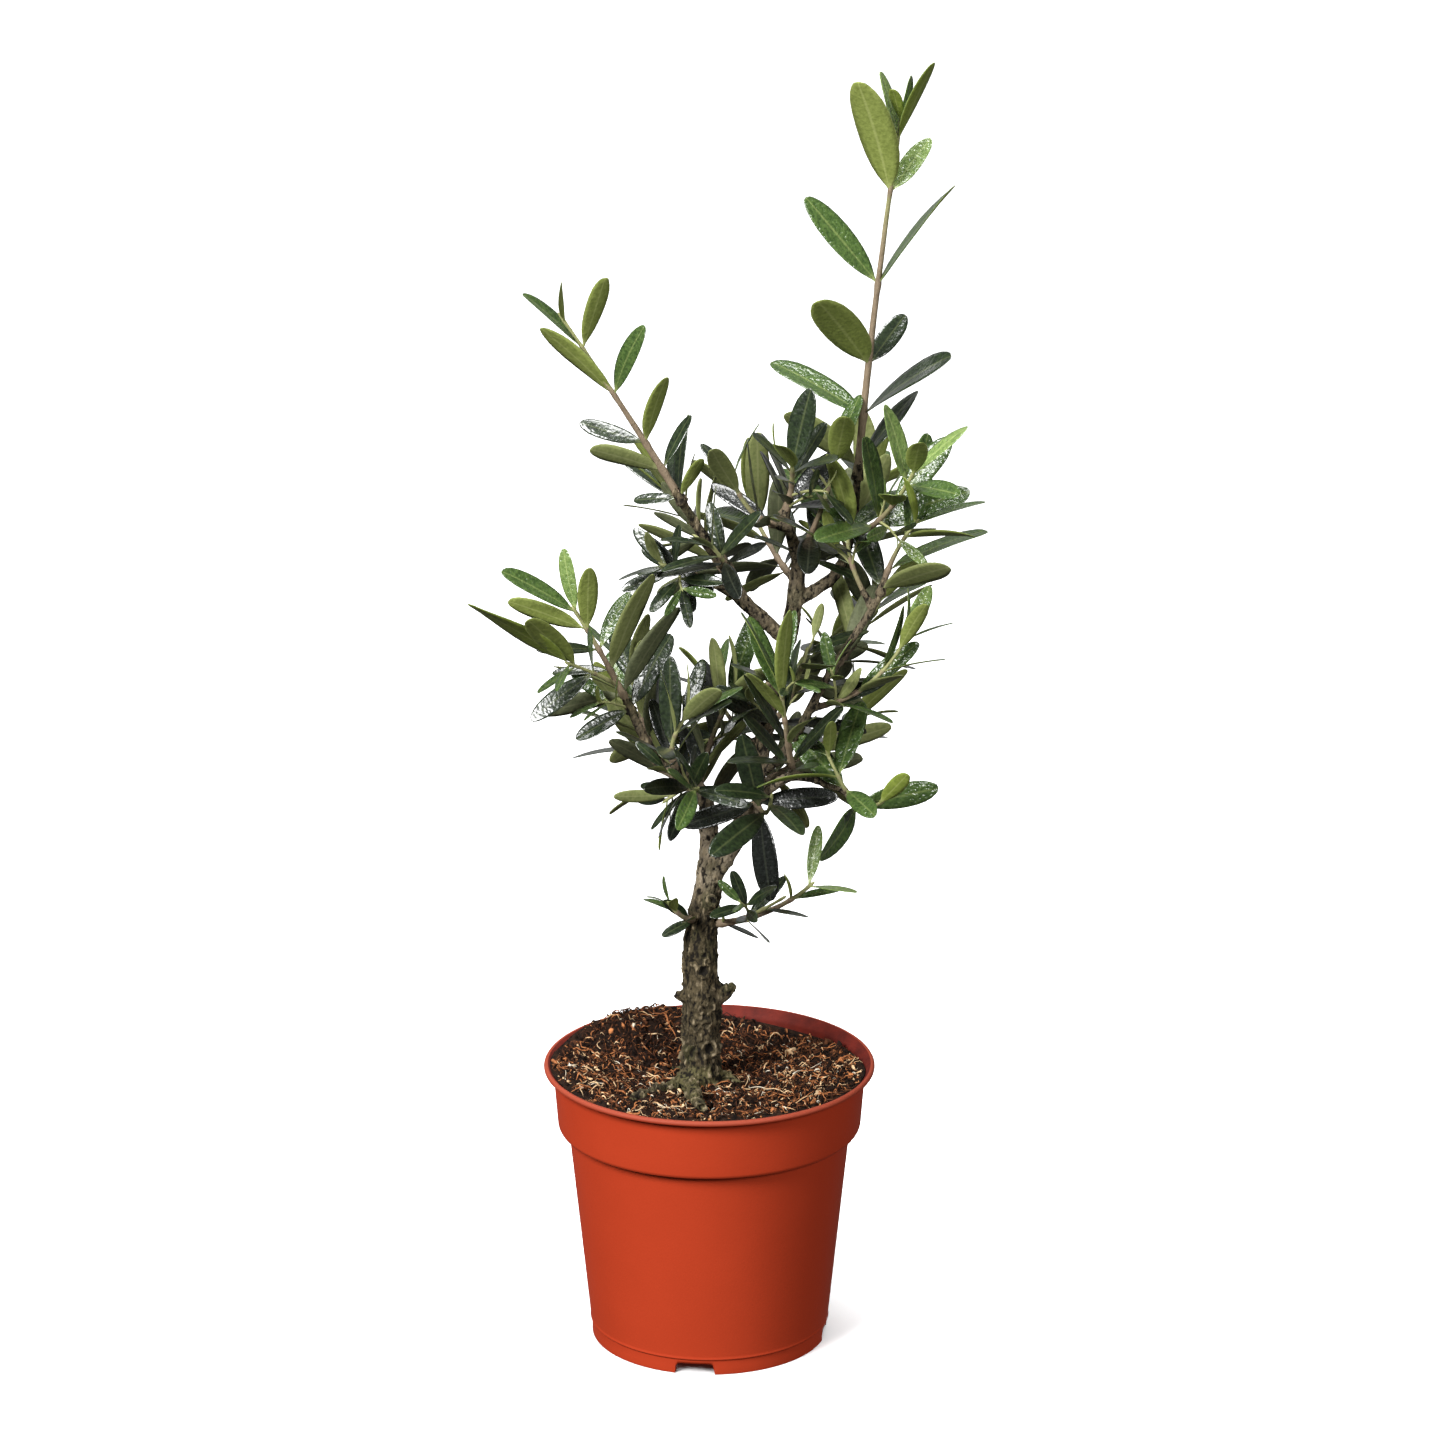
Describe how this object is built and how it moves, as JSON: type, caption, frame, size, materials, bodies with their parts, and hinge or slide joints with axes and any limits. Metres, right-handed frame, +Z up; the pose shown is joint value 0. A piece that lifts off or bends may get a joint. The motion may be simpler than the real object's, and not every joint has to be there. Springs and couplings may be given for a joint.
{
  "type": "potted olive tree",
  "caption": "Young olive tree with a forked trunk, two tall leading shoots and a leafy crown, standing in a round terracotta-coloured plastic nursery pot.",
  "frame": {"origin": "centre of the pot's flat underside", "axes": "+Z up along the plant, -Y towards the side seen in the picture, +X to that side's right"},
  "size_m": [0.1809, 0.1346, 0.4726],
  "materials": {
    "pot_plastic": "satin, terracotta coloured",
    "potting_soil": "crumbly potting soil with coir fibres",
    "bark": "rough grey-brown bark",
    "foliage": "leathery leaves, glossy above and matt below"
  },
  "bodies": {
    "root": {"pot": "pot_plastic", "soil": "potting_soil", "trunk": "bark", "bough_left": "bark", "bough_main": "bark", "bough_upper_left": "bark", "bough_centre": "bark", "bough_upper_right": "bark", "bough_right": "bark", "bough_lower_right": "bark", "bough_side": "bark", "spray_top_leader": "foliage", "spray_upper_left": "foliage", "spray_lower_left": "foliage", "foliage_right_front": "foliage", "foliage_right_tip": "foliage", "foliage_right_inner": "foliage", "foliage_right_middle": "foliage", "foliage_front": "foliage", "foliage_centre": "foliage", "foliage_lower_right": "foliage", "foliage_low_front": "foliage", "foliage_left_front": "foliage", "foliage_left_low": "foliage", "foliage_left_middle": "foliage", "foliage_left_inner": "foliage", "foliage_side": "foliage", "foliage_upper_left": "foliage", "foliage_fork": "foliage", "foliage_top": "foliage", "foliage_top_left": "foliage", "foliage_top_right": "foliage", "foliage_trunk_right": "foliage", "foliage_trunk_left": "foliage", "foliage_rear_1": "foliage", "foliage_rear_2": "foliage", "foliage_rear_3": "foliage", "foliage_rear_4": "foliage", "foliage_rear_5": "foliage", "foliage_rear_6": "foliage", "foliage_rear_7": "foliage", "foliage_rear_8": "foliage", "foliage_rear_9": "foliage"}
  },
  "joints": []
}
